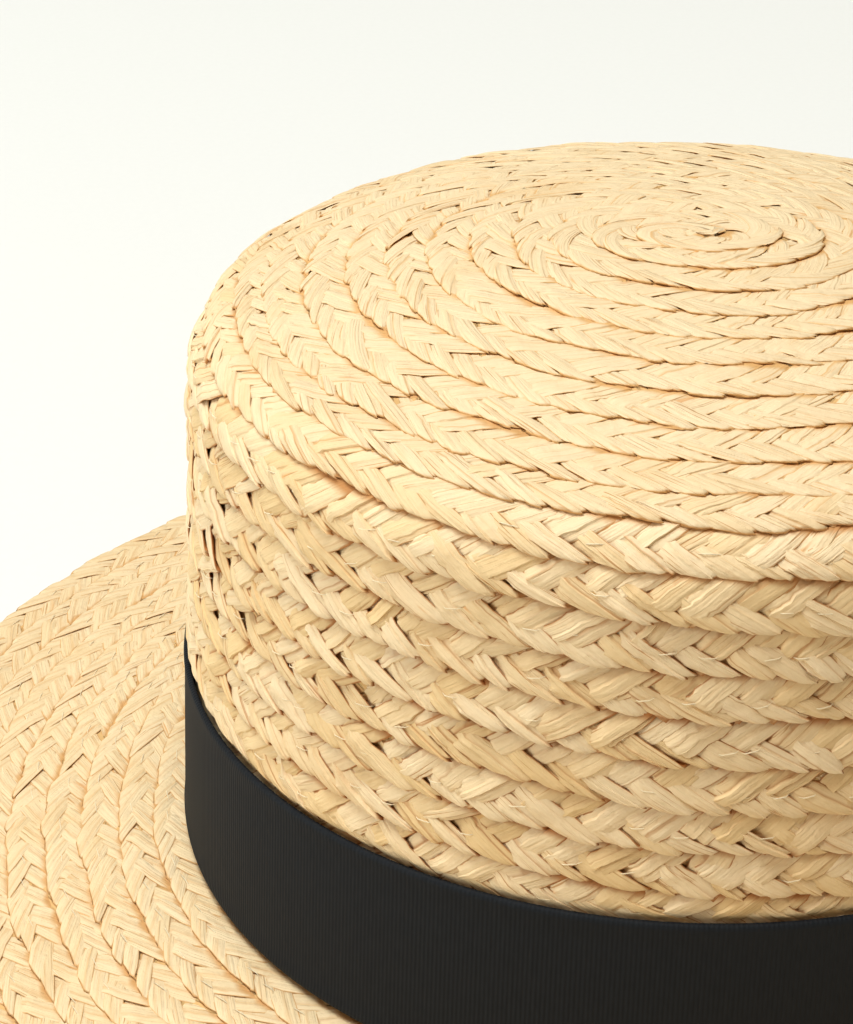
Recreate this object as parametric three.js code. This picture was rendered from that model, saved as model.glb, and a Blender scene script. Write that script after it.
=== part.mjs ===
// A braided raffia hat: a tall, flat-topped oval crown, a wide level brim and a ribbon band round
// the crown's foot. Millimetres, +Z up, the hat's front towards -Y, its rim standing on Z = 0.
import * as THREE from 'three';

// Driving dimensions. A radius is the mean of the oval's half length and half width there.
const WALL = 2.6; // two layers of flat braid, sewn where they overlap
const GAP = 0.3; // clearance between two pieces that touch
const OVAL_STRETCH = 3.3; // added to each radius along Y, taken from it along X
const TOP_RADIUS = 77.5; // the domed top, up to where the shoulder starts to turn
const DOME_RISE = 11.5; // how far the top's centre stands above the start of the shoulder
const SHOULDER_RADIUS = 15;
const SIDE_FLARE = THREE.MathUtils.degToRad(3); // the side leans out towards the foot
const CROWN_HEIGHT = 123; // from the foot to the top's centre
const BRIM_WIDTH = 67; // from the crown's foot to the rim
const BRIM_RISE = 4.5; // the brim's inner edge above the plane of its rim
const RIM_WIDTH = 9; // the outermost rows, which lie level
const RIBBON_WIDTH = 38;
const RIBBON_THICKNESS = 1.2;
const LAP_THICKNESS = 1.2; // the ribbon's folded end, sewn over its start on the +X side
const LAP_HALF_ANGLE = THREE.MathUtils.degToRad(9);

// How finely the curves are divided
const SEGMENTS = 72; // round the oval
const DOME_STEPS = 4;
const SHOULDER_STEPS = 5;
const BRIM_STEPS = 3; // from the crown to the level rim

const BRIM_SEAT = BRIM_RISE + WALL; // the brim's upper face under the crown
const FOOT = BRIM_SEAT + GAP; // the crown's lowest edge
const TOP = FOOT + CROWN_HEIGHT;
const SHOULDER_START = Math.atan(2 * DOME_RISE / TOP_RADIUS); // angle from vertical, at the dome's edge
const SHOULDER_END = Math.PI / 2 - SIDE_FLARE;
const SHOULDER_CENTRE = new THREE.Vector2(
  TOP_RADIUS - SHOULDER_RADIUS * Math.sin(SHOULDER_START),
  TOP - DOME_RISE - SHOULDER_RADIUS * Math.cos(SHOULDER_START),
);

const MATERIALS = {
  raffia: new THREE.MeshStandardMaterial({ color: 0xecd3a2, roughness: 0.72, metalness: 0 }),
  ribbon: new THREE.MeshStandardMaterial({ color: 0x2b2a2b, roughness: 0.62, metalness: 0 }),
};

// Radius of the crown's side at height z, on the face that lies depth inside the outer one.
function sideRadius(z, depth) {
  const reach = SHOULDER_RADIUS - depth;
  const drop = SHOULDER_CENTRE.y + reach * Math.cos(SHOULDER_END) - z;
  return SHOULDER_CENTRE.x + reach * Math.sin(SHOULDER_END) + drop * Math.tan(SIDE_FLARE);
}

// The crown's face at a depth, as radius and height, from the top's centre down to the foot.
function crownFace(depth) {
  const points = [];
  for (let step = 0; step <= DOME_STEPS; step += 1) {
    const share = step / DOME_STEPS;
    const lean = Math.atan(2 * DOME_RISE * share / TOP_RADIUS);
    points.push(new THREE.Vector2(
      TOP_RADIUS * share - depth * Math.sin(lean),
      TOP - DOME_RISE * share ** 2 - depth * Math.cos(lean),
    ));
  }
  for (let step = 1; step <= SHOULDER_STEPS; step += 1) {
    const turn = THREE.MathUtils.lerp(SHOULDER_START, SHOULDER_END, step / SHOULDER_STEPS);
    const spoke = new THREE.Vector2(Math.sin(turn), Math.cos(turn));
    points.push(SHOULDER_CENTRE.clone().addScaledVector(spoke, SHOULDER_RADIUS - depth));
  }
  points.push(new THREE.Vector2(sideRadius(FOOT, depth), FOOT));
  return points;
}

// Turns a closed profile of radius and height round Z, and stretches the round into the oval.
// swell(angle, radius) may add to a radius, for a local thickening.
function ovalTurn(profile, swell = () => 0) {
  const geometry = new THREE.LatheGeometry(profile, SEGMENTS);
  geometry.rotateX(Math.PI / 2);
  const position = geometry.attributes.position;
  for (let i = 0; i < position.count; i += 1) {
    const radius = Math.hypot(position.getX(i), position.getY(i));
    if (radius > OVAL_STRETCH) {
      const angle = Math.atan2(position.getY(i), position.getX(i));
      const wide = radius + swell(angle, radius);
      position.setX(i, (wide - OVAL_STRETCH) * Math.cos(angle));
      position.setY(i, (wide + OVAL_STRETCH) * Math.sin(angle));
    }
  }
  return geometry;
}

function piece(name, geometry, material) {
  const mesh = new THREE.Mesh(geometry, material);
  mesh.name = name;
  return mesh;
}

// A hollow shell, open at the foot.
function crown() {
  const profile = [...crownFace(WALL), ...crownFace(0).reverse()];
  return piece('crown', ovalTurn(profile), MATERIALS.raffia);
}

// A ring under the crown's foot, falling gently from its inner edge to a level rim.
function brim() {
  const inner = sideRadius(FOOT, WALL);
  const outer = sideRadius(FOOT, 0) + BRIM_WIDTH;
  const level = outer - RIM_WIDTH;
  const underside = [];
  for (let step = 0; step <= BRIM_STEPS; step += 1) {
    const share = step / BRIM_STEPS;
    const fall = (1 + Math.cos(Math.PI * share)) / 2;
    underside.push(new THREE.Vector2(THREE.MathUtils.lerp(inner, level, share), BRIM_RISE * fall));
  }
  underside.push(new THREE.Vector2(outer, 0));
  const upper = underside.map((p) => new THREE.Vector2(p.x, p.y + WALL)).reverse();
  return piece('brim', ovalTurn([...underside, ...upper, underside[0].clone()]), MATERIALS.raffia);
}

// A loop of ribbon round the side, just above the brim, thicker where its end laps over its start.
function ribbonBand() {
  const low = FOOT + GAP;
  const high = low + RIBBON_WIDTH * Math.cos(SIDE_FLARE);
  const inside = (z) => sideRadius(z, 0) + GAP;
  const face = (z, offset) => new THREE.Vector2(inside(z) + offset, z);
  const profile = [
    face(low, 0), face(low, RIBBON_THICKNESS),
    face(high, RIBBON_THICKNESS), face(high, 0), face(low, 0),
  ];
  const midway = inside(low) + RIBBON_THICKNESS / 2 - RIBBON_WIDTH * Math.sin(SIDE_FLARE) / 2;
  const lap = (angle, radius) => (Math.abs(angle) < LAP_HALF_ANGLE && radius > midway ? LAP_THICKNESS : 0);
  return piece('ribbon_band', ovalTurn(profile, lap), MATERIALS.ribbon);
}

const hat = new THREE.Group();
hat.add(crown(), brim(), ribbonBand());

export default hat;
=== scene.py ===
"""A braided raffia hat: its strands, stitches, ribbon and light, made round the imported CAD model.

The hat's surface is described once, as a mean profile that is turned and stretched into an oval. The
braid is then laid on it in rows: every strand is a pleated tape that folds round its row's edge, runs
over the row to its middle and dives under the strands of the row's other edge.
"""
import math

import bpy
import numpy as np
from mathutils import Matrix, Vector


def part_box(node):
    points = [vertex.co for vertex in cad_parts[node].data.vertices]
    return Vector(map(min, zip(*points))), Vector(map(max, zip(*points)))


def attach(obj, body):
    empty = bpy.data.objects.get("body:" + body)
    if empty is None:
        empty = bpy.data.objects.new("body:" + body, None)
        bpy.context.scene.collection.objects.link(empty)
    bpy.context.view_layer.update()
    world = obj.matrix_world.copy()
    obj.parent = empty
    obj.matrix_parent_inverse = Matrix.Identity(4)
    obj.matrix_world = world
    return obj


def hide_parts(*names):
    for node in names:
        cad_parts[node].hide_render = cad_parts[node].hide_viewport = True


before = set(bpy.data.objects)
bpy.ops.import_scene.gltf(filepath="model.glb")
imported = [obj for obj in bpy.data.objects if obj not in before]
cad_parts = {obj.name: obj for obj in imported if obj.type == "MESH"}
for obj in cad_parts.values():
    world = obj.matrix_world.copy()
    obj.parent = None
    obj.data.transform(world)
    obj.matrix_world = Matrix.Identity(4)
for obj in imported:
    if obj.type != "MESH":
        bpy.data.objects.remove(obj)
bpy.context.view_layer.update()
MM = 0.001
BODY = "root"

# ---------------------------------------------------------------- sizes, in millimetres

CROWN_LOW, CROWN_HIGH = (np.array(corner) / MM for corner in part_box("crown"))
BRIM_HIGH = np.array(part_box("brim")[1]) / MM
RIBBON_LOW, RIBBON_HIGH = (np.array(corner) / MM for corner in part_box("ribbon_band"))

TOP = CROWN_HIGH[2]
FOOT = CROWN_LOW[2]
FOOT_RADIUS = (CROWN_HIGH[0] + CROWN_HIGH[1]) / 2  # the mean of the oval's half width and half length
OVAL_STRETCH = (CROWN_HIGH[1] - CROWN_HIGH[0]) / 2  # how far each of the two is from that mean
RIM_RADIUS = (BRIM_HIGH[0] + BRIM_HIGH[1]) / 2
BRIM_WIDTH = RIM_RADIUS - FOOT_RADIUS
RIBBON_WIDTH = RIBBON_HIGH[2] - RIBBON_LOW[2]
WALL = 2.6  # the straw's thickness in the CAD model
BRIM_RISE = 4.5  # from the level rim up to the crown's foot
RIM_WIDTH = 9.0  # the level part of the brim
TOP_RADIUS = 77.5  # where the domed top ends and the shoulder starts
DOME_RISE = 11.5
SHOULDER_RADIUS = 15.0
SIDE_FLARE = math.radians(3)  # how far the crown's side leans from upright
RIBBON_GAP = 0.3  # between the crown's face and the ribbon
RIBBON_THICKNESS = 1.2
LAP_HALF = math.radians(9)  # half the length of the ribbon's lapped end

# The rows of braid.
PITCH = 7.58  # from one row to the next, on average
HALF_BRAID = 4.45  # half the width of a braid, which the next row partly covers
SINK = 1.10  # the braid's middle plane lies this far under the CAD model's outer face
BACKING = -1.2  # the height of a shell behind the strands, seen through the gaps
ROW_TURNS = (-1, 0, 9, 10, 11, 16, 21)  # the crown's spiral, in turns from the centre, and how far
ROW_MIDDLES = (-2.4, 5.2, 73.2, 79.4, 86.5, 128.3, 170.1)  # out it is: closest round the shoulder
SPIRAL_START = -0.85
STEPS_PER_TURN = 240
LEAN_MIDDLES = (0, 25, 75, 100)  # the rows run lower at the hat's front: this far out,
LEANS = (0, 1.4, 1.4, 3.2)  # they do so by this much
SIDE_SEEN = math.radians(174.7)  # the side that the camera faces, where turns are counted from
UNDER_RIBBON = 8  # the braid goes on this far under the ribbon
ROW_WANDER = 0.40  # how far a row strays from its line,
ROW_WIDENS = 0.05  # what share its width changes by,
ROW_RISES = 0.14  # and how far it rises and sinks
PRESSED_ABOVE = 2.5  # the ribbon presses the braid flat from this far above its edge,
PRESSED_OVER = 3.5  # over this distance,
PRESSED_FLAT = 0.85  # takes away this share of its relief
PRESSED_IN = 1.0  # and pushes it in by this much

# Pairs of values, for the top and the brim and for the crown's side.
SIDE_FROM, SIDE_BLEND = 72, 30  # the first value changes to the second from here, over this distance
STRAND_STEPS = (5.9, 6.5)  # along the braid, from one strand to the next
LOWER_SLOPES = (0.54, 0.55)  # how fast the lower edge's strands cross the braid
UPPER_SLOPES = (0.72, 0.78)
MIDDLES = (0.5, 0.8)  # the two edges' strands meet this far outside the braid's middle
TILTS = (0.065, 0.17)  # each row leans on the one outside it
RELIEFS = (0.42, 1)  # the top is pressed flatter than the side

# How far the straw's tones differ, as a share of the side's: painted light makes the top and the brim
# paler.
TOP_CONTRAST = 0.3
BRIM_CONTRAST = 0.5
CONTRAST_FROM, CONTRAST_BLEND = 60, 50

# The strands.
LIFT = 0.48  # how far a strand passes above or below the braid's middle plane
SCALLOP = 0.6  # how far a fold's sharp corner falls short of the braid's edge
LONGER = {1: 0.12, -1: 0.34}  # this share of each edge's strands stays on top for one more crossing
NOMINAL_STEP = 6.0
STEP_DRIFT, STEP_VARIES = 0.08, 0.09  # how unevenly the strands follow each other: slowly, and singly
WIDTH_SHARE = (1.13, 0.15)  # a strand's width over the step to the next, as a mean and a spread,
WIDTH_LIMITS = (0.80, 1.5)  # and its least and most
THICKNESS = (0.24, 0.36)
LOWER_FACE = (0.72, -0.72)  # the corners of a section's flat lower face
END_RELIEF = 0.08  # a strand's two ends are nearly flat
EDGE_DROP = 0.10  # how much lower the upper face is at its two edges
SLOPE_VARIES = 0.12
DIVE_VARIES = 0.20  # how far the diving end strays along the braid
FOLD_VARIES = 0.25  # how far a fold stands out or falls short
ROLL_VARIES = (0.16, 0.55)  # how far a strand rolls to one side, and how fast that changes
HEIGHT_VARIES = 0.11
SLANT_LENGTHENS = 2.4  # a strand is about this much longer than its way across the braid
DIVE_LEAN = 0.3  # which way a diving strand faces: partly towards the middle,
DIVE_UP = 0.96  # and mostly up

RNG = np.random.default_rng(20)


# ---------------------------------------------------------------- the hat's surface

SHOULDER_START = math.atan(2 * DOME_RISE / TOP_RADIUS)
SHOULDER_END = math.pi / 2 - SIDE_FLARE
SHOULDER_LENGTH = SHOULDER_RADIUS * (SHOULDER_END - SHOULDER_START)
SHOULDER_R = TOP_RADIUS - SHOULDER_RADIUS * math.sin(SHOULDER_START)
SHOULDER_Z = TOP - DOME_RISE - SHOULDER_RADIUS * math.cos(SHOULDER_START)


def crown_profile(s):
    """Radius, height and the surface's angle from level, at distance s from the top's centre."""
    s = np.asarray(s, float)
    share = s / TOP_RADIUS
    angle = SHOULDER_START + np.clip((s - TOP_RADIUS) / SHOULDER_RADIUS, 0, SHOULDER_END - SHOULDER_START)
    down = np.maximum(s - TOP_RADIUS - SHOULDER_LENGTH, 0)
    r = SHOULDER_R + SHOULDER_RADIUS * np.sin(angle) + down * math.sin(SIDE_FLARE)
    z = SHOULDER_Z + SHOULDER_RADIUS * np.cos(angle) - down * math.cos(SIDE_FLARE)
    on_top = s < TOP_RADIUS
    r = np.where(on_top, s, r)
    z = np.where(on_top, TOP - DOME_RISE * share ** 2, z)
    angle = np.where(on_top, np.arctan(2 * DOME_RISE * share / TOP_RADIUS), angle)
    return r, z, angle


def brim_profile(s):
    """The same for the brim's upper face, at distance s outside the crown's foot."""
    s = np.asarray(s, float)
    inner = FOOT_RADIUS - WALL
    level = RIM_RADIUS - RIM_WIDTH
    r = FOOT_RADIUS + s
    share = np.clip((r - inner) / (level - inner), 0, 1)
    z = WALL + BRIM_RISE * (1 + np.cos(math.pi * share)) / 2
    angle = np.arctan(BRIM_RISE * math.pi / (level - inner) / 2 * np.sin(math.pi * share))
    return r, z, angle


def place(profile, s, theta, height):
    """Points on the oval, at a height above the surface, in metres."""
    r, z, angle = profile(s)
    stretch = OVAL_STRETCH * (1 - np.exp(-np.maximum(r, 0) / (2 * OVAL_STRETCH)))
    r = r + height * np.sin(angle)
    x = (r - stretch) * np.cos(theta)
    y = (r + stretch) * np.sin(theta)
    return np.stack([x, y, z + height * np.cos(angle)], -1) * MM


def smooth_noise(where, wavelengths, size):
    """A gentle wander along a length, made of a few waves with random phases. It goes about as far as
    the size says, however many waves there are."""
    total = np.zeros_like(where)
    for wavelength in wavelengths:
        phase = RNG.uniform(0, 2 * math.pi)
        share = RNG.uniform(0.6, 1.0)
        total += share * np.sin(2 * math.pi * where / wavelength + phase)
    return size * total / math.sqrt(len(wavelengths) / 2) / 1.4


def smoothed(values, reach):
    """A running mean, which keeps the ends' slope."""
    steps = np.arange(1, reach + 1)
    before = values[0] - (values[1] - values[0]) * steps[::-1]
    after = values[-1] + (values[-1] - values[-2]) * steps
    window = np.ones(2 * reach + 1) / (2 * reach + 1)
    return np.convolve(np.concatenate([before, values, after]), window, "valid")


# ---------------------------------------------------------------- rows of braid

def under_ribbon_from():
    """Where the ribbon's upper edge is, along the crown's profile."""
    straight = TOP_RADIUS + SHOULDER_LENGTH
    drop = SHOULDER_Z + SHOULDER_RADIUS * math.cos(SHOULDER_END) - RIBBON_HIGH[2]
    return straight + drop / math.cos(SIDE_FLARE)


def smooth_step(value):
    value = np.clip(value, 0, 1)
    return value * value * (3 - 2 * value)


def blend(ends, share):
    """From the first of two values to the second."""
    return ends[0] + (ends[1] - ends[0]) * share


def side_share(distance):
    """0 on the top and the brim, 1 on the crown's side."""
    return smooth_step((distance - SIDE_FROM) / SIDE_BLEND)


class Row:
    """A stretch of braid: where its middle runs, and the length along it."""

    # The last argument: how far the tones differ on the top, which is painted paler as painted light.
    def __init__(self, profile, theta, middle, spread=1.0, pressed_from=None, painted_light_contrast=TOP_CONTRAST):
        points = place(profile, middle, theta, 0) / MM
        steps = np.linalg.norm(np.diff(points, axis=0), axis=1)
        self.profile, self.theta, self.middle = profile, theta, middle
        self.pressed_from, self.painted_light_contrast = pressed_from, painted_light_contrast
        self.along = np.concatenate([[0], np.cumsum(steps)])
        self.length = self.along[-1]
        self.wander = smooth_noise(self.along, (31, 47, 83, 140), ROW_WANDER)
        self.width = spread * (1 + smooth_noise(self.along, (23, 41, 67), ROW_WIDENS))
        self.rise = smooth_noise(self.along, (29, 53, 97), ROW_RISES)

    def at(self, t, u, height):
        """Points at t along the braid, u across it and a height above its middle plane."""
        theta = np.interp(t, self.along, self.theta)
        s = np.interp(t, self.along, self.middle) + np.interp(t, self.along, self.wander)
        s = s + u * np.interp(t, self.along, self.width)
        side = side_share(s)
        height = blend(RELIEFS, side) * height + blend(TILTS, side) * u
        height = height + np.interp(t, self.along, self.rise) - SINK
        if self.pressed_from is not None:
            pressed = smooth_step((s - self.pressed_from + PRESSED_ABOVE) / PRESSED_OVER)
            height = height * (1 - PRESSED_FLAT * pressed) - PRESSED_IN * pressed
        return place(self.profile, s, theta, height)

    def distance(self, t):
        """How far out the row's middle is, at t along the braid."""
        return np.interp(t, self.along, self.middle)

    def contrast(self, t):
        """How far the straw's tones differ at t along the braid: less on the top and brim, painted light.
        """
        return blend((self.painted_light_contrast, 1), smooth_step((self.distance(t) - CONTRAST_FROM) / CONTRAST_BLEND))


class Strands:
    """The strands of a row, along both its edges: where each folds and how it crosses the braid."""

    def __init__(self, row):
        self.row = row
        passed = np.diff(row.along) / blend(STRAND_STEPS, side_share(row.middle))[1:]
        passed = np.concatenate([[0], np.cumsum(passed)])
        count = 2 * round(passed[-1] / 2)
        drift = smooth_noise(np.arange(count) * NOMINAL_STEP, (35, 61, 110), STEP_DRIFT)
        uneven = 1 + drift + RNG.normal(0, STEP_VARIES, count)
        self.folds = np.interp(np.cumsum(uneven) * passed[-1] / uneven.sum(), passed, row.along)
        self.steps = np.diff(self.folds, prepend=0)
        self.distance = row.distance(self.folds)
        side = side_share(self.distance)
        self.lower_slope = blend(LOWER_SLOPES, side)
        self.upper_slope = blend(UPPER_SLOPES, side)
        self.middle = blend(MIDDLES, side)
        self.midway = self.folds - self.steps / 2 - (HALF_BRAID - self.middle) / self.lower_slope
        self.midway += (HALF_BRAID + self.middle) / self.upper_slope

    def lay(self, lower_path, upper_path, section, chosen=slice(None)):
        """The chosen strands of both edges, or all of them."""
        lower = lay_strands(
            self.row, self.folds[chosen], self.steps[chosen], self.lower_slope[chosen],
            self.upper_slope[chosen], self.middle[chosen], lower_path, 1, section,
        )
        upper = lay_strands(
            self.row, self.midway[chosen], self.steps[chosen], self.upper_slope[chosen],
            self.lower_slope[chosen], self.middle[chosen], upper_path, -1, section,
        )
        return [lower, upper]


def path_rows(fold_angles, crossing, side):
    """A strand's way through the braid's section: round the fold, at some angles in degrees, and then
    across the braid, in steps of (share of its half width, height over LIFT, slant). Columns: u,
    height, the outward normal's u and height, and how far the strand's end slants with the strands
    that it dives under."""
    rows = []
    for degrees in fold_angles:
        a = math.radians(degrees)
        u = HALF_BRAID - LIFT + LIFT * math.cos(a)
        rows.append((side * u, LIFT * math.sin(a), side * math.cos(a), math.sin(a), 0.0))
    for share, lift, slant in crossing:
        normal_u = -DIVE_LEAN * side if slant == 1.0 else 0.0
        rows.append((side * share * HALF_BRAID, lift * LIFT, normal_u, DIVE_UP, slant))
    return np.array(rows)


# A strand of the lower edge folds, passes over and dives. One of the upper edge comes out from under
# the row above, where it is tucked in, and has no fold that shows.
FOLD = (-105, -50, 0, 45, 85)
OVER = ((0.70, 1.20, 0.15), (0.48, 1.34, 0.4), (0.30, 1.20, 0.8))
DIVE = ((0.13, 0.92, 1.0), (0.0, 0.35, 1.0), (-0.11, -0.35, 1.0), (-0.32, -0.60, 1.0), (-0.72, -0.58, 1.0))
TUCKED = ((1.15, 0.1, 0.0), (0.86, 0.85, 0.1), (0.66, 1.2, 0.3), (0.45, 1.32, 0.6), (0.29, 1.15, 0.9))
BRIM_FOLD = (-70, 0, 60)
BRIM_OVER = ((0.62, 1.30, 0.25), (0.34, 1.22, 0.8))
BRIM_DIVE = ((0.08, 0.80, 1.0), (-0.12, -0.35, 1.0), (-0.55, -0.58, 1.0))
BRIM_TUCKED = ((0.88, 0.8, 0.0), (0.55, 1.25, 0.5), (0.29, 1.1, 0.9))


def pleated_section(count):
    """Each strand's section, for a strand half as wide as 1: a leaf folded into three uneven pleats,
    each with its own height and tilt, and a flat lower face."""
    def each(low, high):
        return RNG.uniform(low, high, count)[:, None]

    first, second = each(-0.62, -0.12), each(0.12, 0.66)
    gap = 0.05
    edge = np.ones((count, 1))
    rim = 0.84 * edge
    across = np.concatenate([
        -edge, -rim, first - gap, first + gap, (first + second) / 2, second - gap, second + gap, rim, edge,
    ], 1)

    # Which pleat each point is on, and how that pleat rises and turns.
    pleat = np.array([0, 0, 0, 1, 1, 1, 2, 2, 2])
    rise = RNG.normal(0, 0.11, (count, 3))[:, pleat]
    turn = RNG.normal(0.04, 0.26, (count, 3))[:, pleat]
    middle = np.concatenate([(first - 1) / 2, (first + second) / 2, (second + 1) / 2], 1)[:, pleat]
    upper = each(0.38, 0.64) * (1 - np.abs(across) ** 2.4) + rise + turn * (across - middle)
    upper += RNG.normal(0.06, 0.10, (count, 1)) * across
    upper[:, [2, 6]] -= each(0.04, 0.26)
    upper[:, [0, 8]] -= EDGE_DROP

    # The edges and the folds between the pleats get painted shade, some folds more than others.
    painted_shade = np.array([1, 0, 0.8, 0.2, 0, 0.2, 0.8, 0, 1]) * np.ones((count, 1))
    painted_shade[:, 2:4] *= each(0.2, 1)
    painted_shade[:, 5:7] *= each(0.2, 1)
    return across, upper, painted_shade


def plain_section(count):
    """A simpler section, with one crease."""
    crease = RNG.uniform(-0.5, 0.5, count)[:, None]
    edge = np.ones((count, 1))
    across = np.concatenate([-edge, -0.8 * edge, crease, 0.8 * edge, edge], 1)
    upper = RNG.uniform(0.26, 0.5, count)[:, None] * (1 - np.abs(across) ** 2.4)
    upper += RNG.normal(0.08, 0.14, count)[:, None] * across
    upper[:, 2:3] -= RNG.uniform(0.0, 0.24, count)[:, None]
    upper[:, [0, 4]] -= EDGE_DROP
    # Painted shade at the edges and in the crease.
    painted_shade = np.array([1, 0, 0.6, 0, 1]) * np.ones((count, 1))
    return across, upper, painted_shade


CREASES = {11: (0, 2, 3, 5, 6, 8), 7: (0, 2, 4)}  # where a section of 11 or of 7 points has sharp corners


def strand_outlines(section, count):
    """Each strand's whole section, closed by a flat lower face, and which points get painted shade."""
    across, upper, painted_shade = section(count)
    thickness = RNG.uniform(*THICKNESS, count)[:, None]
    outline_u = np.concatenate([across, np.broadcast_to(LOWER_FACE, (count, 2))], 1)
    outline_h = np.concatenate([upper, np.broadcast_to(-thickness, (count, 2))], 1)
    return outline_u, outline_h, np.concatenate([painted_shade, np.ones((count, 2))], 1)


def stay_on_top(h0, inward, side, count):
    """Path heights where some strands pass over one strand more before they dive."""
    over = np.maximum(h0, (2.0 - 1.2 * smooth_step(inward / 0.5)) * LIFT)
    reach = RNG.uniform(0.12, 0.5, count)[:, None, None]
    stays = (RNG.uniform(0, 1, count) < LONGER[side])[:, None, None]
    return np.where(stays & (inward > -0.2) & (inward < reach), over, h0)


def flat_ended(outline_h, n):
    """The outline's heights at each of a path's n steps, nearly flat at both ends."""
    relief = np.ones(n)
    relief[0] = relief[-1] = END_RELIEF
    lift = outline_h[:, None, :] * np.ones((1, n, 1))
    middle = lift[:, :, :-2].mean(2, keepdims=True)
    return middle + (lift - middle) * relief[None, :, None]


def shade_depth(u0, h0, nh, slant, side):
    """How much painted shade each step of a path gets, from 0 to 1, by how deep it lies among other
    strands:
    where it has dived, where the lower edge's fold turns under and where the upper edge lies under the row
    above."""
    sunk = 0.45 * np.clip((0.9 * LIFT - h0) / LIFT, 0, 1) * (slant > 0.5)
    turned_under = np.clip((1.0 - nh) / 0.6, 0, 1) * (np.abs(u0) > 0.8 * HALF_BRAID)
    under_ledge = np.clip((np.abs(u0) / HALF_BRAID - 0.46) / 0.34, 0, 1)
    return np.maximum(sunk, under_ledge if side < 0 else turned_under)


def path_run(path):
    """The length along a strand's path."""
    steps = np.hypot(np.diff(path[:, 0]) * SLANT_LENGTHENS, np.diff(path[:, 1]))
    return np.concatenate([[0], np.cumsum(steps)])


def lay_strands(row, folds, steps, slope, other_slope, meet, path, side, section):
    """Every strand of one edge of a row, as points [strand, step, section point]. In a row, t runs
    along it, u across it and h up from its middle plane. A strand's path gives u0, h0 and the outward
    normal nu, nh at each step. Its outline is laid round the path: w along t, and lift along the
    normal."""
    def varied(spread):
        return RNG.normal(0, spread, count)[:, None, None]

    count, n = len(folds), len(path)
    outline_u, outline_h, painted_shade = strand_outlines(section, count)
    width = np.clip(RNG.normal(*WIDTH_SHARE, count), *WIDTH_LIMITS)
    half = width[:, None] * steps[:, None] / 2
    interlock = (slope * other_slope / (slope + other_slope))[:, None, None]
    even = steps.mean() / steps
    slope = (slope * even * (1 + RNG.normal(0, SLOPE_VARIES, count)))[:, None, None]

    u0, h0, nu, nh, slant = (path[:, i][None, :, None] for i in range(5))
    outward = side * u0 / HALF_BRAID
    h0 = stay_on_top(h0, -outward, side, count)
    lift = flat_ended(outline_h, n)
    fold = smooth_step((outward - 0.5) / 0.45)
    pinch = 1.12 - 0.14 * fold - 0.08 * smooth_step((0.3 - outward) / 0.3)
    w = (outline_u * half)[:, None, :] * pinch + RNG.normal(0, DIVE_VARIES, (count, n, 1)) * slant
    scallop = SCALLOP * fold * (np.clip(outline_u, 0, 1) ** 1.6)[:, None, :]

    # Both edges' strands meet outside the middle, and a diving end is cut parallel to what it dives under.
    bulge = varied(FOLD_VARIES) * (1 - slant)
    inside = 1 - smooth_step(np.abs(u0) / HALF_BRAID - 0.1)
    u = u0 + side * (bulge - scallop) + nu * lift + meet[:, None, None] * inside
    u -= side * interlock * w * slant
    roll = varied(ROLL_VARIES[0]) + varied(ROLL_VARIES[1]) * (outward - 0.55)
    h = h0 + nh * lift + roll * outline_u[:, None, :] * (1 - slant) * (nh > 0)
    h = h + varied(HEIGHT_VARIES) - 0.35 * scallop
    under = np.where(nh < 0, -1.0, 1.0)
    t = folds[:, None, None] - under * (HALF_BRAID - side * u) / slope + w

    # The map that the straw's grain follows has a place of its own for each strand.
    run = path_run(path)
    shift = RNG.uniform(0, 900, (count, 1, 1, 2))
    along = np.broadcast_to(run[None, :, None], t.shape)
    grain = np.stack([np.broadcast_to(w, t.shape), along], -1) + shift
    # edge: how much painted shade each point gets, in its section's folds and where it lies among strands.
    edge = np.maximum(painted_shade[:, None, :], shade_depth(u0, h0, nh, slant, side))
    contrast = row.contrast(folds)[:, None, None] * np.ones_like(edge)
    points = row.at(t, u, h)
    return {"points": points, "grain": grain, "edge": edge, "contrast": contrast, "run": run / run[-1]}


# ---------------------------------------------------------------- stitches

STITCH_STEP = 7.0  # from one stitch to the next, along the row
STITCH_LENGTHS = (3.2, 4.2)
STITCHES_SHOWN = 0.55
STITCH_RADIUS = 0.11
STITCH_ACROSS = (1.4, 0.25)  # from the row's middle towards its lower edge, as a mean and a spread
STITCH_SLANT = (0.3, 0.15)
STITCH_HEIGHT = (1.32, 0.06)  # over the braid's middle plane, at the dash's middle
STITCH_DIPS = 0.8  # and how much lower its ends are


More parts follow.
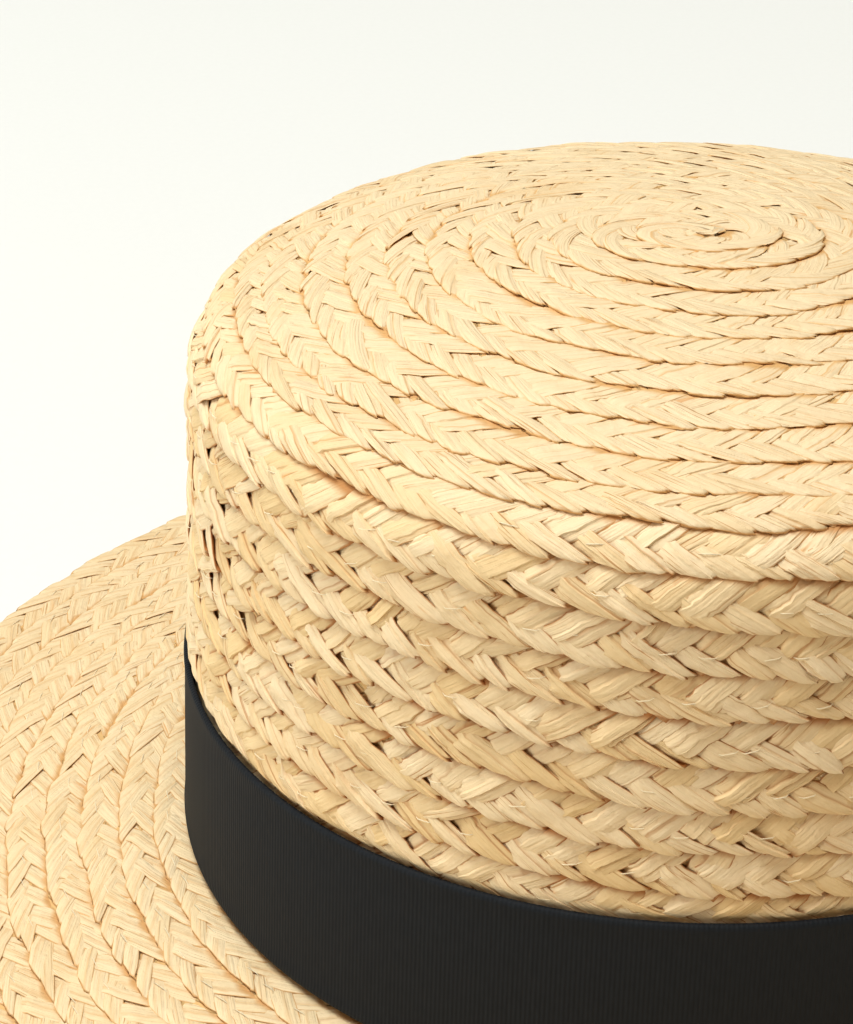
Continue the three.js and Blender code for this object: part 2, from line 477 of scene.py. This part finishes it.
def stitches(name, rows, shown_from):
    """The thread that sews the rows together, where it shows as short dashes along each row."""
    rings, sides = 5, 3
    thin = STITCH_RADIUS * np.array([0.4, 1, 1, 1, 0.4])[None, :, None]
    turn = 2 * math.pi * np.arange(sides) / sides
    share = np.linspace(-1, 1, rings)[None, :]
    vertices, quads, start = [], [], 0
    for row in rows:
        count = int(row.length / STITCH_STEP)
        t = (np.arange(count) + RNG.uniform(0.2, 0.8, count)) * STITCH_STEP
        shown = (RNG.uniform(0, 1, count) < STITCHES_SHOWN) & (row.distance(t) > shown_from)
        t = t[shown]
        count = len(t)
        length = RNG.uniform(*STITCH_LENGTHS, count)[:, None]
        u = RNG.normal(*STITCH_ACROSS, count)[:, None] - RNG.normal(*STITCH_SLANT, count)[:, None] * share
        arch = STITCH_HEIGHT[0] + RNG.normal(0, STITCH_HEIGHT[1], count)[:, None]
        arch = arch - STITCH_DIPS * np.abs(share) ** 6
        at_t = (t[:, None] + length / 2 * share)[:, :, None] + np.zeros(sides)
        at_u = u[:, :, None] + thin * np.cos(turn)
        at_h = arch[:, :, None] + thin * np.sin(turn)
        vertices.append(row.at(at_t, at_u, at_h).reshape(-1, 3))
        quads.append(strand_faces(start, count, rings, sides).reshape(-1, 4))
        start += count * rings * sides
    quads = np.concatenate(quads)
    flat = np.tile(np.array([[0, 0], [1, 0], [1, 1], [0, 1]]), (len(quads), 1))
    return new_mesh(name, np.concatenate(vertices), quads, {"Strand": flat})


# ---------------------------------------------------------------- meshes from arrays

def strand_faces(start, count, n, points):
    """Quads round each strand, as corners of the joined mesh."""
    strand = start + np.arange(count)[:, None, None] * n * points
    step = np.arange(n - 1)[None, :, None] * points
    here = np.arange(points)[None, None, :]
    after = (here + 1) % points
    base = strand + step
    return np.stack([base + here, base + after, base + points + after, base + points + here], -1)


def sharpen(mesh, columns, creases):
    """Mark the edges that run along a strand's creases as sharp, by the section point they follow."""
    ends = np.empty(len(mesh.edges) * 2, np.int32)
    mesh.edges.foreach_get("vertices", ends)
    first, second = (columns[ends.reshape(-1, 2)[:, i]] for i in (0, 1))
    sharp = (first == second) & np.isin(first, creases)
    mesh.attributes.new("sharp_edge", "BOOLEAN", "EDGE").data.foreach_set("value", sharp)


def new_mesh(name, vertices, quads, uv_layers, tones=None):
    """A mesh object made from arrays in one go."""
    mesh = bpy.data.meshes.new(name)
    quads = quads.reshape(-1, 4)
    mesh.vertices.add(len(vertices))
    mesh.vertices.foreach_set("co", vertices.astype(np.float32).ravel())
    mesh.loops.add(quads.size)
    mesh.loops.foreach_set("vertex_index", quads.astype(np.int32).ravel())
    mesh.polygons.add(len(quads))
    mesh.polygons.foreach_set("loop_start", np.arange(0, quads.size, 4, dtype=np.int32))
    mesh.polygons.foreach_set("use_smooth", np.full(len(quads), True))
    for layer, values in uv_layers.items():
        mesh.uv_layers.new(name=layer).data.foreach_set("uv", values.astype(np.float32).ravel())
    if tones is not None:
        colours = mesh.color_attributes.new("tone", "FLOAT_COLOR", "POINT")
        colours.data.foreach_set("color", tones.astype(np.float32).ravel())
    mesh.update()
    mesh.validate()
    piece = bpy.data.objects.new(name, mesh)
    bpy.context.scene.collection.objects.link(piece)
    return piece


CELL_MARGIN = 0.08
UPPER_FACE = 0.86  # the share of a cell's width that a strand's upper face takes


def bake_cells(count, n, points, first, total, run):
    """A cell of the bake's map for each strand, laid out in a square of columns and rows."""
    columns = math.ceil(math.sqrt(total))
    index = first + np.arange(count)
    column, line = index % columns, index // columns
    round_it = np.concatenate([np.linspace(0, UPPER_FACE, points - 2), [0.90, 0.95, 1.0]])
    across = np.stack([round_it[:points], round_it[1:], round_it[1:], round_it[:points]], -1)
    along = np.stack([run[:-1], run[:-1], run[1:], run[1:]], -1)
    across = CELL_MARGIN + (1 - 2 * CELL_MARGIN) * across[None, None, :, :]
    along = CELL_MARGIN + (1 - 2 * CELL_MARGIN) * along[None, :, None, :]
    u = (column[:, None, None, None] + across) / columns
    v = (line[:, None, None, None] + along) / columns
    shape = (count, n - 1, points, 4)
    return np.stack([np.broadcast_to(u, shape), np.broadcast_to(v, shape)], -1)


def join_strands(name, batches, palest=0.0):
    """One piece from batches of strands. Each strand gets two random tones, the first of them at
    least as dark as the palest."""
    total = sum(len(b["points"]) for b in batches)
    vertices, quads, grain, cells, tones, columns = [], [], [], [], [], []
    start = first = 0
    for b in batches:
        count, n, points, _ = b["points"].shape
        faces = strand_faces(start, count, n, points)
        flat_grain = b["grain"].reshape(-1, 2)
        vertices.append(b["points"].reshape(-1, 3))
        quads.append(faces.reshape(-1, 4))
        grain.append(flat_grain[faces.reshape(-1) - start] * MM)
        cells.append(bake_cells(count, n, points, first, total, b["run"]).reshape(-1, 2))
        tone = RNG.uniform((palest, 0), 1, (count, 1, 1, 2)) * np.ones((1, n, points, 1))
        # Blue holds the painted shade, alpha how far the tones differ.
        tone = np.concatenate([tone, b["edge"][..., None], b["contrast"][..., None]], -1)
        tones.append(tone.reshape(-1, 4))
        columns.append(np.tile(np.arange(points), count * n))
        start += count * n * points
        first += count
    uv_layers = {"Strand": np.concatenate(grain), "OFBake": np.concatenate(cells)}
    quads = np.concatenate(quads)
    piece = new_mesh(name, np.concatenate(vertices), quads, uv_layers, np.concatenate(tones))
    sharpen(piece.data, np.concatenate(columns), CREASES[points])
    return piece


# ---------------------------------------------------------------- the crown's and brim's rows

def crown_rows():
    """The crown's single spiral, from the centre to just under the ribbon's upper edge."""
    edge = under_ribbon_from()
    last = np.interp(edge + UNDER_RIBBON, ROW_MIDDLES, ROW_TURNS)
    turn = np.linspace(SPIRAL_START, last, int(STEPS_PER_TURN * (last - SPIRAL_START)))
    middle = np.interp(turn, ROW_TURNS, ROW_MIDDLES)
    lean = np.interp(middle, LEAN_MIDDLES, LEANS)
    pitch = np.gradient(smoothed(middle, STEPS_PER_TURN // 2), turn)
    middle = middle + lean * np.sin(2 * math.pi * turn)
    return Row(crown_profile, SIDE_SEEN + 2 * math.pi * turn, middle, pitch / PITCH, edge)


def brim_rows():
    """The brim's rows, each a ring that laps over its own start, from under the ribbon to the rim."""
    count = round(BRIM_WIDTH / PITCH)
    lap = 0.25  # radians
    past_rim = 0.2
    theta = np.linspace(-lap, 2 * math.pi, 640)
    rows = []
    for k in range(count):
        middle = BRIM_WIDTH * (k + 1) / count - HALF_BRAID + past_rim
        # The brim is painted paler, as painted light.
        rows.append(Row(brim_profile, theta, np.full_like(theta, middle), painted_light_contrast=BRIM_CONTRAST))
    return rows


CROWN_ZONES = (
    ("crown_top", -math.inf, 72), ("crown_shoulder", 72, 98), ("crown_upper_side", 98, 130),
    ("crown_lower_side", 130, math.inf),
)
CROWN_STITCHES_FROM = TOP_RADIUS + 8  # the photo shows none on the top


def crown_braid():
    """The crown's strands, in four pieces by how far out they are, and its stitches."""
    row = crown_rows()
    strands = Strands(row)
    lower_path = path_rows(FOLD, OVER + DIVE, 1)
    upper_path = path_rows((), TUCKED + DIVE, -1)
    pieces = []
    for name, inner, outer in CROWN_ZONES:
        chosen = (strands.distance >= inner) & (strands.distance < outer)
        batches = strands.lay(lower_path, upper_path, pleated_section, chosen)
        pieces.append(join_strands(name, batches))
    return pieces, stitches("crown_stitches", [row], CROWN_STITCHES_FROM)


def brim_braid():
    """The brim's strands, in two pieces, and its stitches."""
    rows = brim_rows()
    lower_path = path_rows(BRIM_FOLD, BRIM_OVER + BRIM_DIVE, 1)
    upper_path = path_rows((), BRIM_TUCKED + BRIM_DIVE, -1)
    half = len(rows) // 2 + 1
    pieces = []
    for name, chosen in (("brim_inner_rows", rows[:half]), ("brim_outer_rows", rows[half:])):
        batches = []
        for row in chosen:
            batches += Strands(row).lay(lower_path, upper_path, plain_section)
        pieces.append(join_strands(name, batches, palest=0.6))
    return pieces, stitches("brim_stitches", rows, 0)


# ---------------------------------------------------------------- shells, ribbon

CLOSING_STEP = 0.002  # the map's length for the step from a closed surface's last ring to its first


def turned(name, rings, segments, outer_rings=0):
    """A closed surface through rings of (profile, s, height above it), with a map in metres. The first
    rings can be marked as the outer face, which backs the strands."""
    theta = np.linspace(0, 2 * math.pi, segments, endpoint=False)
    loops = [place(profile, np.full(segments, s), theta, height) for profile, s, height in rings]
    vertices = np.concatenate(loops)
    count = len(rings)
    j = np.arange(segments)
    quads = []
    for i in range(count):
        a, b = i * segments, ((i + 1) % count) * segments
        quads.append(np.stack([a + j, b + j, b + (j + 1) % segments, a + (j + 1) % segments], -1))
    quads = np.concatenate(quads)
    steps = [np.linalg.norm(loops[i + 1][0] - loops[i][0]) for i in range(count - 1)] + [CLOSING_STEP]
    length = np.concatenate([[0], np.cumsum(steps)])

    # The map's u runs round the hat and its v through the rings.
    around = np.arange(segments + 1) / segments * 2 * math.pi * FOOT_RADIUS * MM
    here, after = around[j], around[j + 1]
    grain = []
    for i in range(count):
        low, high = length[i], length[i + 1]
        grain.append(np.stack([
            np.stack([here, np.full(segments, low)], -1), np.stack([here, np.full(segments, high)], -1),
            np.stack([after, np.full(segments, high)], -1), np.stack([after, np.full(segments, low)], -1),
        ], 1))
    tones = np.zeros((len(vertices), 4))
    tones[:outer_rings * segments] = 1
    return new_mesh(name, vertices, quads, {"Strand": np.concatenate(grain).reshape(-1, 2)}, tones)


# Across the back of one row: shares of its width, and heights over the hat's surface.
CROWN_BACK = ((0.98, -3.2), (0.6, -2.9), (0.3, -2.8), (0.04, -2.7))
BRIM_BACK = ((0.96, -2.35), (0.6, -2.6), (0.3, -2.6), (0.05, -2.35))


def crown_shell():
    """The backing that shows in the gaps and, inside, the back of the braid's rows."""
    start = 0.5
    past_foot = 0.5
    end = TOP_RADIUS + SHOULDER_LENGTH + (SHOULDER_Z - FOOT) / math.cos(SIDE_FLARE) + past_foot
    rings = [(crown_profile, s, BACKING) for s in np.linspace(start, end, 60)]
    outer_rings = len(rings)
    for k in range(int(end / PITCH), -1, -1):
        for share, height in CROWN_BACK:
            s = k * PITCH + share * PITCH
            if start < s < end:
                rings.append((crown_profile, s, height))
    return turned("crown_inside", rings, segments=132, outer_rings=outer_rings)


def brim_shell():
    """The backing of the brim's strands and, underneath, the back of its rows. It ends just inside the
    outermost strands."""
    upper_edge, rim, lower_edge = BRIM_WIDTH - 0.9, BRIM_WIDTH - 0.7, BRIM_WIDTH - 1.0
    rings = [(brim_profile, s, BACKING) for s in np.linspace(-WALL, upper_edge, 30)]
    rings.append((brim_profile, rim, -2.0))
    outer_rings = len(rings)
    rows = round(BRIM_WIDTH / PITCH)
    for k in range(rows - 1, -1, -1):
        for share, height in BRIM_BACK:
            s = (k + share) * BRIM_WIDTH / rows
            rings.append((brim_profile, min(s, lower_edge), height))
    rings.append((brim_profile, -WALL, BRIM_BACK[-1][1]))
    return turned("brim_underside", rings, segments=180, outer_rings=outer_rings)


# Across the ribbon, from its lower edge up: shares of its width, and the outer face's height above the
# gap. Its woven edges are slightly thicker.
RIBBON_SHARES = np.array([0, 0.01, 0.03, 0.06, 0.15, 0.3, 0.5, 0.7, 0.85, 0.94, 0.97, 0.99, 1.0])
RIBBON_HEIGHTS = np.array([0.55, 0.95, 1.0, 0.85, 0.8, 0.8, 0.8, 0.8, 0.8, 0.85, 1.0, 0.95, 0.55])


def ribbon_distances():
    """How far down the crown's profile each point across the ribbon is."""
    drop = RIBBON_WIDTH / math.cos(SIDE_FLARE)
    return under_ribbon_from() + (1 - RIBBON_SHARES) * drop


def ribbon():
    """The band: a strip round the crown's side."""
    distance = ribbon_distances()
    rings = [(crown_profile, s, RIBBON_GAP + h) for s, h in zip(distance, RIBBON_HEIGHTS)]
    rings += [(crown_profile, distance[-1], RIBBON_GAP), (crown_profile, distance[0], RIBBON_GAP)]
    return turned("ribbon", rings[::-1], segments=360)


def ribbon_lap():
    """The band's end, turned under itself and laid over its beginning on the wearer's left. Near its
    two ends along the band it opens from nothing to its whole thickness."""
    half = LAP_HALF * FOOT_RADIUS
    from_end = np.array([0.0, 0.1, 0.3, 0.7])
    opened = np.array([0.0, 0.55, 0.85, 1.0])
    between = np.linspace(-half, half, 24)[1:-1]
    along = np.concatenate([from_end - half, between, half - from_end[::-1]])
    opened = np.concatenate([opened, np.ones(len(between)), opened[::-1]])[:, None]
    layer_gap = 0.05
    pressed = 0.1
    under = RIBBON_GAP + RIBBON_HEIGHTS + layer_gap
    outline = np.concatenate([under + RIBBON_THICKNESS - pressed, under[::-1]])
    centre = np.concatenate([under, under[::-1]]) + RIBBON_THICKNESS / 2
    heights = centre + (outline - centre) * opened
    distance = ribbon_distances()
    down = np.concatenate([distance, distance[::-1]]) * np.ones_like(opened)
    across = along[:, None] * np.ones_like(down)
    points = place(crown_profile, down, across / FOOT_RADIUS, heights).reshape(-1, 3)
    quads = strand_faces(0, 1, len(along), down.shape[1]).reshape(-1, 4)
    grain = np.stack([across, down], -1).reshape(-1, 2) * MM
    return new_mesh("ribbon_lap", points, quads, {"Strand": grain[quads.ravel()]})


# ---------------------------------------------------------------- materials

class Nodes:
    """A few lines' worth of shorthand for a material's nodes."""

    def __init__(self, name):
        self.material = bpy.data.materials.new(name)
        self.material.use_nodes = True
        self.tree = self.material.node_tree
        self.shader = self.tree.nodes["Principled BSDF"]

    def add(self, kind, inputs=None, **settings):
        node = self.tree.nodes.new(kind)
        for key, value in settings.items():
            setattr(node, key, value)
        for key, value in (inputs or {}).items():
            if isinstance(value, bpy.types.NodeSocket):
                self.tree.links.new(value, node.inputs[key])
            else:
                node.inputs[key].default_value = value
        return node

    def set(self, key, value):
        """Link or set one of the shader's own inputs."""
        if isinstance(value, bpy.types.NodeSocket):
            self.tree.links.new(value, self.shader.inputs[key])
        else:
            self.shader.inputs[key].default_value = value

    def mix(self, factor, a, b):
        return self.add("ShaderNodeMix", {0: factor, 6: a, 7: b}, data_type="RGBA").outputs[2]

    def tint(self, colour, where, strength, tint):
        """A colour that changes towards the tint where a mask says."""
        return self.mix(self.math("MULTIPLY", where, strength), colour, tint)

    def math(self, operation, a, b=0.0):
        return self.add("ShaderNodeMath", {0: a, 1: b}, operation=operation).outputs[0]

    def between(self, value, low, high):
        """0 below low, 1 above high and smooth between."""
        node = self.add(
            "ShaderNodeMapRange", {"Value": value, "From Min": low, "From Max": high},
            interpolation_type="SMOOTHSTEP",
        )
        return node.outputs["Result"]

    def noise(self, vector, scale, detail=2.0, roughness=0.5):
        inputs = {"Vector": vector, "Scale": scale, "Detail": detail, "Roughness": roughness}
        return self.add("ShaderNodeTexNoise", inputs).outputs["Fac"]

    def bump(self, height, strength, distance):
        """Relief on the shader's normal, its distance in metres."""
        node = self.add("ShaderNodeBump", {"Height": height, "Strength": strength, "Distance": distance})
        self.set("Normal", node.outputs["Normal"])

    def stretched(self, vector, across, along):
        """A vector with its own scale across and along the grain."""
        node = self.add("ShaderNodeVectorMath", {0: vector, 1: (across, along, 1.0)}, operation="MULTIPLY")
        return node.outputs["Vector"]


CREAM = (0.82, 0.655, 0.42, 1)
STRAW = (0.76, 0.56, 0.295, 1)
GOLD = (0.68, 0.44, 0.19, 1)
STAIN = (0.66, 0.30, 0.08, 1)
FIBRE_LINE = (0.48, 0.23, 0.07, 1)
# Painted shade in the crevices, and a paler painted shade where the top and the brim are painted lighter.
CREVICE_SHADE = (0.42, 0.155, 0.03, 1)
LIT_CREVICE_SHADE = (0.80, 0.50, 0.20, 1)
BACK_SHADE = (0.20, 0.085, 0.025, 1)
BACK_STRAW = (0.50, 0.33, 0.15, 1)
BACK_STREAK = (0.5, 0.32, 0.14, 1)
# The strands seen through the gaps: straw, painted darker as their shade.
SHADED_BACKING_STRAW = (0.70, 0.45, 0.19, 1)
THREAD = (0.86, 0.74, 0.52, 1)
RIBBON_DARK = (0.0092, 0.0112, 0.0138, 1)
RIBBON_LIGHT = (0.0155, 0.018, 0.0212, 1)
RIB_SPACING = 0.0008  # of the ribbon's weave, in metres
CHEVRON_SLOPE = 1.7


def raffia():
    """The strands: pale straw with streaks, fibre lines, stains and painted shade in their crevices. A
    strand's tone attribute holds two random tones, how much painted shade each point gets and how far the
    tones differ."""
    n = Nodes("raffia_strand")
    grain = n.add("ShaderNodeUVMap", uv_map="Strand").outputs["UV"]
    space = n.add("ShaderNodeTexCoord").outputs["Object"]
    attribute = n.add("ShaderNodeVertexColor", layer_name="tone")
    tone = n.add("ShaderNodeSeparateColor", {0: attribute.outputs["Color"]})
    first, second, painted_shade = tone.outputs[0], tone.outputs[1], tone.outputs[2]
    contrast = attribute.outputs["Alpha"]
    streaks = n.noise(n.stretched(grain, 900, 60), 1.0, 3.0, 0.55)
    fine = n.noise(n.stretched(grain, 1700, 60), 1.0, 1.0)
    patches = n.noise(space, 55, 3.0, 0.55)
    crumple = n.noise(space, 700)
    marks = n.noise(n.stretched(grain, 420, 90), 1.0, 1.0)

    # Less difference between tones on the top and the brim makes them paler: painted light from above.
    colour = n.mix(n.between(n.math("MULTIPLY", first, contrast), 0.1, 1.0), CREAM, STRAW)
    colour = n.tint(colour, n.between(streaks, 0.45, 0.78), 0.35, GOLD)
    colour = n.tint(colour, n.between(patches, 0.52, 0.75), 0.25, GOLD)
    lines = n.math("MULTIPLY", n.between(fine, 0.66, 0.71), n.between(second, -0.2, 1.0))
    colour = n.tint(colour, lines, 0.8, FIBRE_LINE)
    stains = n.math("MULTIPLY", n.between(marks, 0.66, 0.78), n.between(second, 0.6, 0.9))
    colour = n.tint(colour, stains, 0.6, STAIN)
    # Painted shade in the crevices and among other strands, paler on the top and the brim.
    shade_colour = n.mix(contrast, LIT_CREVICE_SHADE, CREVICE_SHADE)
    n.set("Base Color", n.tint(colour, n.between(painted_shade, 0.35, 0.95), 0.92, shade_colour))

    rough = n.add("ShaderNodeMapRange", {"Value": streaks, "To Min": 0.5, "To Max": 0.75})
    n.set("Roughness", rough.outputs["Result"])
    n.set("Specular IOR Level", 0.35)
    fibres = n.math("ADD", streaks, n.math("MULTIPLY", fine, 0.3))
    n.bump(n.math("ADD", fibres, n.math("MULTIPLY", crumple, 0.7)), 1.0, 0.00032)
    return n.material


def raffia_back():
    """The back of the braid: chevrons of strands in rows, darker and plainer. The outer face, which backs
    the
    strands, is straw painted darker: the strands beneath, with painted shade."""
    n = Nodes("raffia_back")
    grain = n.add("ShaderNodeUVMap", uv_map="Strand").outputs["UV"]
    along, down = n.add("ShaderNodeSeparateXYZ", {0: grain}).outputs[:2]
    across = n.math("PINGPONG", down, PITCH * MM / 2)
    slanted = n.math("ADD", along, n.math("MULTIPLY", across, CHEVRON_SLOPE))
    wave = n.math("PINGPONG", slanted, STRAND_STEPS[0] * MM / 4)
    hill = n.between(wave, 0.0, STRAND_STEPS[0] * MM / 9)
    streaks = n.noise(n.stretched(grain, 500, 500), 1.0, 3.0)
    colour = n.mix(hill, BACK_SHADE, BACK_STRAW)
    colour = n.tint(colour, streaks, 0.5, BACK_STREAK)
    outside = n.between(n.add("ShaderNodeVertexColor", layer_name="tone").outputs["Color"], 0.4, 0.6)
    n.set("Base Color", n.mix(outside, colour, SHADED_BACKING_STRAW))
    n.set("Roughness", 0.8)
    n.bump(hill, 0.8, 0.0006)
    return n.material


def thread():
    n = Nodes("sewing_thread")
    n.set("Base Color", THREAD)
    n.set("Roughness", 0.55)
    return n.material


def ribbon_cloth():
    """Ribbed black cloth, a little mottled."""
    n = Nodes("ribbon_cloth")
    grain = n.add("ShaderNodeUVMap", uv_map="Strand").outputs["UV"]
    along = n.add("ShaderNodeSeparateXYZ", {0: grain}).outputs[0]
    rib = n.math("SINE", n.math("MULTIPLY", along, 2 * math.pi / RIB_SPACING))
    mottle = n.noise(n.stretched(grain, 900, 300), 1.0, 3.0)
    n.set("Base Color", n.mix(mottle, RIBBON_DARK, RIBBON_LIGHT))
    n.set("Roughness", 0.7)
    n.set("Specular IOR Level", 0.2)
    n.bump(rib, 0.35, 0.0001)
    return n.material


# ---------------------------------------------------------------- light and camera

FLOOR_SIZE = 6.0  # metres from its middle to each side
FLOOR_COLOURS = ((0.78, 0.765, 0.72, 1), (0.80, 0.785, 0.74, 1))
WALL_COLOUR = (0.50, 0.455, 0.345, 1)
CEILING_COLOUR = (0.14, 0.10, 0.04, 1)
CEILING_FROM, CEILING_WHOLE = 0.14, 0.32  # between these heights, as sines, wall turns into ceiling
LAMPS = (  # name, place, size, watts and colour
    ("overhead", (-0.4, 0.9, 6.0), 3.6, 477, (0.84, 0.91, 0.96)),
    ("left", (-0.4, 1.45, 0.42), 0.9, 9.6, (0.90, 1.0, 1.05)),
    ("front", (-0.9, 0.3, 1.2), 0.9, 2.4, (1.0, 0.5, 0.25)),
)
LENS = 76.6  # millimetres
CAMERA_FROM_TOP = (-0.3628, 0.0335, 0.1536)  # metres from the centre of the hat's top
AIM_FROM_TOP = (-0.0183, 0.0474, -0.0491)
VIEW_GAMMA = 0.9  # a little more contrast, as in the photo


def stage():
    """A plain pale floor, an even surround and soft lights, the strongest overhead."""
    mesh = bpy.data.meshes.new("floor")
    corners = [(-1, -1), (1, -1), (1, 1), (-1, 1)]
    mesh.from_pydata([(x * FLOOR_SIZE, y * FLOOR_SIZE, 0) for x, y in corners], [], [(0, 1, 2, 3)])
    floor = bpy.data.objects.new("floor", mesh)
    bpy.context.scene.collection.objects.link(floor)
    n = Nodes("floor_paper")
    speckle = n.noise(n.add("ShaderNodeTexCoord").outputs["Object"], 400, 2.0)
    n.set("Base Color", n.mix(speckle, *FLOOR_COLOURS))
    n.set("Roughness", 0.9)
    mesh.materials.append(n.material)
    surround()
    for settings in LAMPS:
        lamp(*settings)


def surround():
    """The room: a pale wall up to some way above the horizon, and a dim warm ceiling."""
    world = bpy.data.worlds.new("surround")
    world.use_nodes = True
    tree = world.node_tree
    direction = tree.nodes.new("ShaderNodeTexCoord").outputs["Generated"]
    height = tree.nodes.new("ShaderNodeSeparateXYZ")
    tree.links.new(direction, height.inputs[0])
    ceiling = tree.nodes.new("ShaderNodeMapRange")
    ceiling.interpolation_type = "SMOOTHSTEP"
    ceiling.inputs["From Min"].default_value = CEILING_FROM
    ceiling.inputs["From Max"].default_value = CEILING_WHOLE
    tree.links.new(height.outputs["Z"], ceiling.inputs["Value"])
    colour = tree.nodes.new("ShaderNodeMix")
    colour.data_type = "RGBA"
    colour.inputs[6].default_value = WALL_COLOUR
    colour.inputs[7].default_value = CEILING_COLOUR
    tree.links.new(ceiling.outputs["Result"], colour.inputs[0])
    tree.links.new(colour.outputs[2], tree.nodes["Background"].inputs["Color"])
    bpy.context.scene.world = world


def lamp(name, where, size, watts, colour):
    """A square area light that faces the middle of the hat."""
    light = bpy.data.lights.new(name, "AREA")
    light.size = size
    light.energy = watts
    light.color = colour
    obj = bpy.data.objects.new(name, light)
    obj.location = where
    aim = Vector((0, 0, TOP * MM / 2)) - obj.location
    obj.rotation_euler = aim.to_track_quat("-Z", "Y").to_euler()
    bpy.context.scene.collection.objects.link(obj)


def camera():
    """Close in on the crown from the wearer's right, looking down at it."""
    data = bpy.data.cameras.new("camera")
    data.lens = LENS
    obj = bpy.data.objects.new("camera", data)
    top_centre = Vector((0, 0, TOP * MM))
    obj.location = top_centre + Vector(CAMERA_FROM_TOP)
    aim = top_centre + Vector(AIM_FROM_TOP)
    obj.rotation_euler = (aim - obj.location).to_track_quat("-Z", "Y").to_euler()
    bpy.context.scene.collection.objects.link(obj)
    bpy.context.scene.camera = obj


# ---------------------------------------------------------------- the scene

def main():
    """Camera, floor and light, and then every piece with its material and body; its CAD node is hidden."""
    camera()
    stage()
    bpy.context.scene.view_settings.view_transform = "Standard"
    bpy.context.scene.view_settings.gamma = VIEW_GAMMA
    straw, back, cloth, sewing = raffia(), raffia_back(), ribbon_cloth(), thread()
    crown_pieces, crown_thread = crown_braid()
    brim_pieces, brim_thread = brim_braid()
    band, lap = ribbon(), ribbon_lap()
    dressed = [(piece, straw, "crown", "raffia_braid") for piece in crown_pieces]
    dressed += [(piece, straw, "brim", "raffia_braid") for piece in brim_pieces]
    dressed += [
        (crown_shell(), back, "crown", "raffia_braid"), (brim_shell(), back, "brim", "raffia_braid"),
        (crown_thread, sewing, "crown", "raffia_braid"), (brim_thread, sewing, "brim", "raffia_braid"),
        (band, cloth, "ribbon_band", "ribbon"), (lap, cloth, "ribbon_band", "ribbon"),
    ]
    for piece, material, node, slot in dressed:
        piece.data.materials.append(material)
        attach(piece, BODY)
        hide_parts(node)


main()
